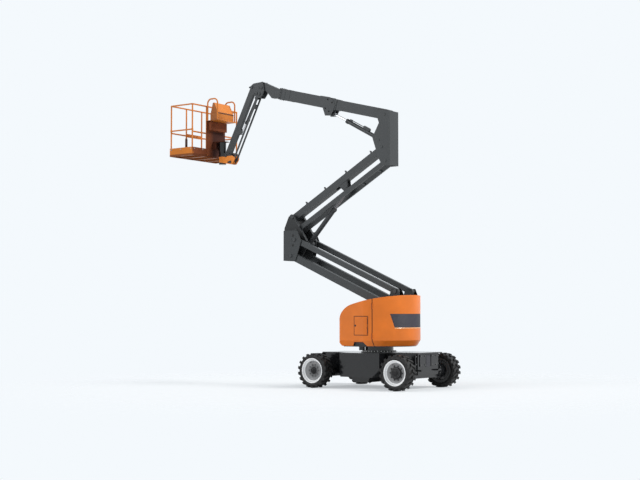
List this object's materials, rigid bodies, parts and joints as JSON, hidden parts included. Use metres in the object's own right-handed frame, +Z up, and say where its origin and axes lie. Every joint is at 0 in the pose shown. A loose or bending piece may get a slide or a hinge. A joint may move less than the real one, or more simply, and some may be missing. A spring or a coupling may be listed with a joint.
{
  "type": "articulating boom lift",
  "caption": "Articulating boom lift with a wheeled chassis, slewing turntable, timed riser linkages, telescopic boom, luffing jib and turning guarded platform.",
  "frame": {"origin": "on the floor under the slew axis", "axes": "+X towards the platform, +Y to the left of the machine, +Z up"},
  "size_m": [6.6307, 2.024, 6.793],
  "materials": {
    "chassis_paint": "dark satin paint",
    "cast_weight": "painted casting",
    "battery_case": "moulded case",
    "tyre": "solid rubber",
    "rim_paint": "light grey paint",
    "orange_cover": "orange moulded cover",
    "vent": "dark grille",
    "boom_paint": "grey satin paint",
    "cylinder_paint": "dark paint",
    "chrome_rod": "polished",
    "orange_paint": "orange paint",
    "console_case": "orange paint"
  },
  "bodies": {
    "chassis": {"chassis_frame": "chassis_paint", "front_axle": "chassis_paint", "rear_axle": "chassis_paint", "slew_bearing": "chassis_paint"},
    "knuckle_left": {"knuckle_left": "chassis_paint"},
    "knuckle_right": {"knuckle_right": "chassis_paint"},
    "wheel_fl": {"tyre_fl": "tyre", "rim_fl": "rim_paint"},
    "wheel_fr": {"tyre_fr": "tyre", "rim_fr": "rim_paint"},
    "wheel_rl": {"tyre_rl": "tyre", "rim_rl": "rim_paint"},
    "wheel_rr": {"tyre_rr": "tyre", "rim_rr": "rim_paint"},
    "turntable": {"turntable_frame": "chassis_paint", "counterweight": "cast_weight", "battery_block": "battery_case", "tail_cover": "orange_cover", "tail_vent": "vent"},
    "cover_left": {"side_cover_left": "orange_cover"},
    "cover_right": {"side_cover_right": "orange_cover"},
    "door": {"control_door": "orange_cover"},
    "lower_arms": {"lower_arms": "boom_paint"},
    "tension_links": {"tension_links": "boom_paint"},
    "knee": {"knee_upright": "boom_paint"},
    "riser_barrel": {"riser_barrel": "cylinder_paint"},
    "riser_rod": {"riser_rod": "chrome_rod"},
    "upper_arm": {"upper_arm": "boom_paint"},
    "lower_bars": {"lower_bars": "boom_paint"},
    "mast": {"mast_upright": "boom_paint"},
    "boom_barrel": {"boom_barrel": "cylinder_paint"},
    "boom_rod": {"boom_rod": "chrome_rod"},
    "boom": {"boom_base": "boom_paint"},
    "inner": {"boom_inner": "boom_paint"},
    "knuckle": {"jib_knuckle": "boom_paint"},
    "jib": {"jib_arm": "boom_paint"},
    "jib_links": {"jib_links": "boom_paint"},
    "jib_barrel": {"jib_barrel": "cylinder_paint"},
    "jib_rod": {"jib_rod": "chrome_rod"},
    "head": {"platform_head": "orange_paint", "rotator": "chassis_paint"},
    "platform": {"platform_base": "orange_paint", "rails_front": "orange_paint", "rails_rear": "orange_paint", "rails_left": "orange_paint", "rails_right": "orange_paint", "control_console": "console_case", "console_guard": "orange_paint"},
    "entry_bar": {"entry_bar": "orange_paint"}
  },
  "joints": [
    {"name": "slew", "type": "hinge", "parent": "chassis", "child": "turntable", "pos_m": [0, 0, 0.866], "axis": [0, 0, 1], "range_deg": [-177.5, 177.5]},
    {"name": "steer_left", "type": "hinge", "parent": "chassis", "child": "knuckle_left", "pos_m": [1.02, 0.704, 0.36], "axis": [0, 0, 1], "range_deg": [-35, 35]},
    {"name": "steer_right", "type": "hinge", "parent": "chassis", "child": "knuckle_right", "pos_m": [1.02, -0.704, 0.36], "axis": [0, 0, 1], "range_deg": [-35.05, 35.05]},
    {"name": "wheel_fl", "type": "hinge", "parent": "knuckle_left", "child": "wheel_fl", "pos_m": [1.02, 0.88, 0.36], "axis": [0, 1, 0], "continuous": true},
    {"name": "wheel_fr", "type": "hinge", "parent": "knuckle_right", "child": "wheel_fr", "pos_m": [1.02, -0.88, 0.36], "axis": [0, 1, 0], "continuous": true},
    {"name": "wheel_rl", "type": "hinge", "parent": "chassis", "child": "wheel_rl", "pos_m": [-1.02, 0.88, 0.36], "axis": [0, 1, 0], "continuous": true},
    {"name": "wheel_rr", "type": "hinge", "parent": "chassis", "child": "wheel_rr", "pos_m": [-1.02, -0.88, 0.36], "axis": [0, 1, 0], "continuous": true},
    {"name": "cover_left_hinge", "type": "hinge", "parent": "turntable", "child": "cover_left", "pos_m": [-0.3485, 0.79979, 1.4], "axis": [0, 0, 1], "range_deg": [0, 80]},
    {"name": "cover_right_hinge", "type": "hinge", "parent": "turntable", "child": "cover_right", "pos_m": [-0.3485, -0.79979, 1.4], "axis": [0, 0, -1], "range_deg": [0, 80]},
    {"name": "door_hinge", "type": "hinge", "parent": "cover_left", "child": "door", "pos_m": [-0.2495, 0.83374, 1.3], "axis": [0, 0, 1], "range_deg": [0, 95]},
    {"name": "riser_lift", "type": "hinge", "parent": "turntable", "child": "lower_arms", "pos_m": [-0.52, 0, 1.65], "axis": [0, -1, 0], "range_deg": [-38, 40]},
    {"name": "tension_pivot", "type": "hinge", "parent": "turntable", "child": "tension_links", "pos_m": [-0.62, 0, 2], "axis": [0, -1, 0], "range_deg": [-38.05, 40.05]},
    {"name": "knee_pivot", "type": "hinge", "parent": "lower_arms", "child": "knee", "pos_m": [2.07995, 0, 2.80757], "axis": [0, -1, 0], "range_deg": [-40.05, 38.05]},
    {"name": "upper_arm_pivot", "type": "hinge", "parent": "knee", "child": "upper_arm", "pos_m": [2.17795, 0, 3.66857], "axis": [0, 1, 0], "range_deg": [-38.05, 40.05]},
    {"name": "lower_bar_pivot", "type": "hinge", "parent": "knee", "child": "lower_bars", "pos_m": [2.07995, 0, 3.36257], "axis": [0, 1, 0], "range_deg": [-38.05, 40.05]},
    {"name": "mast_pivot", "type": "hinge", "parent": "upper_arm", "child": "mast", "pos_m": [-0.17257, 0, 5.05314], "axis": [0, 1, 0], "range_deg": [-40.05, 38.05]},
    {"name": "riser_barrel_pivot", "type": "hinge", "parent": "knee", "child": "riser_barrel", "pos_m": [1.82995, 0, 3.06957], "axis": [0, 1, 0], "range_deg": [-32.92, 34.65]},
    {"name": "riser_rod_slide", "type": "slide", "parent": "riser_barrel", "child": "riser_rod", "axis": [-0.6764, 0, 0.7365], "range_m": [-0.42496, 0.4473]},
    {"name": "boom_luff", "type": "hinge", "parent": "mast", "child": "boom", "pos_m": [-0.23857, 0, 5.73514], "axis": [0, -1, 0], "range_deg": [-13, 55.5]},
    {"name": "boom_barrel_pivot", "type": "hinge", "parent": "mast", "child": "boom_barrel", "pos_m": [-0.09857, 0, 5.20014], "axis": [0, -1, 0], "range_deg": [-10.71, 45.56]},
    {"name": "boom_rod_slide", "type": "slide", "parent": "boom_barrel", "child": "boom_rod", "axis": [0.8771, 0, 0.4804], "range_m": [-0.10487, 0.44608]},
    {"name": "telescope", "type": "slide", "parent": "boom", "child": "inner", "axis": [0.9681, 0, 0.2504], "range_m": [0, 1.2]},
    {"name": "level_pivot", "type": "hinge", "parent": "inner", "child": "knuckle", "pos_m": [3.1219, 0, 6.65999], "axis": [0, -1, 0], "range_deg": [-55.55, 13.05]},
    {"name": "jib_luff", "type": "hinge", "parent": "knuckle", "child": "jib", "pos_m": [3.3999, 0, 6.69999], "axis": [0, -1, 0], "range_deg": [-7, 110]},
    {"name": "jib_link_pivot", "type": "hinge", "parent": "knuckle", "child": "jib_links", "pos_m": [3.2619, 0, 6.54199], "axis": [0, -1, 0], "range_deg": [-7.05, 110.05]},
    {"name": "jib_barrel_pivot", "type": "hinge", "parent": "knuckle", "child": "jib_barrel", "pos_m": [3.3219, 0, 6.44999], "axis": [0, -1, 0], "range_deg": [-6.84, 106.75]},
    {"name": "jib_rod_slide", "type": "slide", "parent": "jib_barrel", "child": "jib_rod", "axis": [0.4976, 0, -0.8674], "range_m": [-0.02982, 0.46127]},
    {"name": "head_pivot", "type": "hinge", "parent": "jib", "child": "head", "pos_m": [4.17168, 0, 5.18528], "axis": [0, -1, 0], "range_deg": [-110.05, 7.05]},
    {"name": "platform_turn", "type": "hinge", "parent": "head", "child": "platform", "pos_m": [4.34168, 0, 5.18528], "axis": [0, 0, 1], "range_deg": [-85, 85]},
    {"name": "entry_slide", "type": "slide", "parent": "platform", "child": "entry_bar", "axis": [0, 0, 1], "range_m": [0, 0.4]}
  ],
  "couplings": [
    {"joint": "steer_right", "follows": "steer_left", "ratio": 1},
    {"joint": "tension_pivot", "follows": "riser_lift", "ratio": 1},
    {"joint": "knee_pivot", "follows": "riser_lift", "ratio": -1},
    {"joint": "upper_arm_pivot", "follows": "riser_lift", "ratio": 1},
    {"joint": "lower_bar_pivot", "follows": "riser_lift", "ratio": 1},
    {"joint": "mast_pivot", "follows": "riser_lift", "ratio": -1},
    {"joint": "riser_barrel_pivot", "follows": "riser_lift", "ratio": 0.865},
    {"joint": "riser_rod_slide", "follows": "riser_lift", "m_per_rad": 0.64},
    {"joint": "boom_barrel_pivot", "follows": "boom_luff", "ratio": 0.82},
    {"joint": "boom_rod_slide", "follows": "boom_luff", "m_per_rad": 0.46},
    {"joint": "level_pivot", "follows": "boom_luff", "ratio": -1},
    {"joint": "jib_link_pivot", "follows": "jib_luff", "ratio": 1},
    {"joint": "jib_barrel_pivot", "follows": "jib_luff", "ratio": 0.97},
    {"joint": "jib_rod_slide", "follows": "jib_luff", "m_per_rad": 0.24},
    {"joint": "head_pivot", "follows": "jib_luff", "ratio": -1}
  ]
}
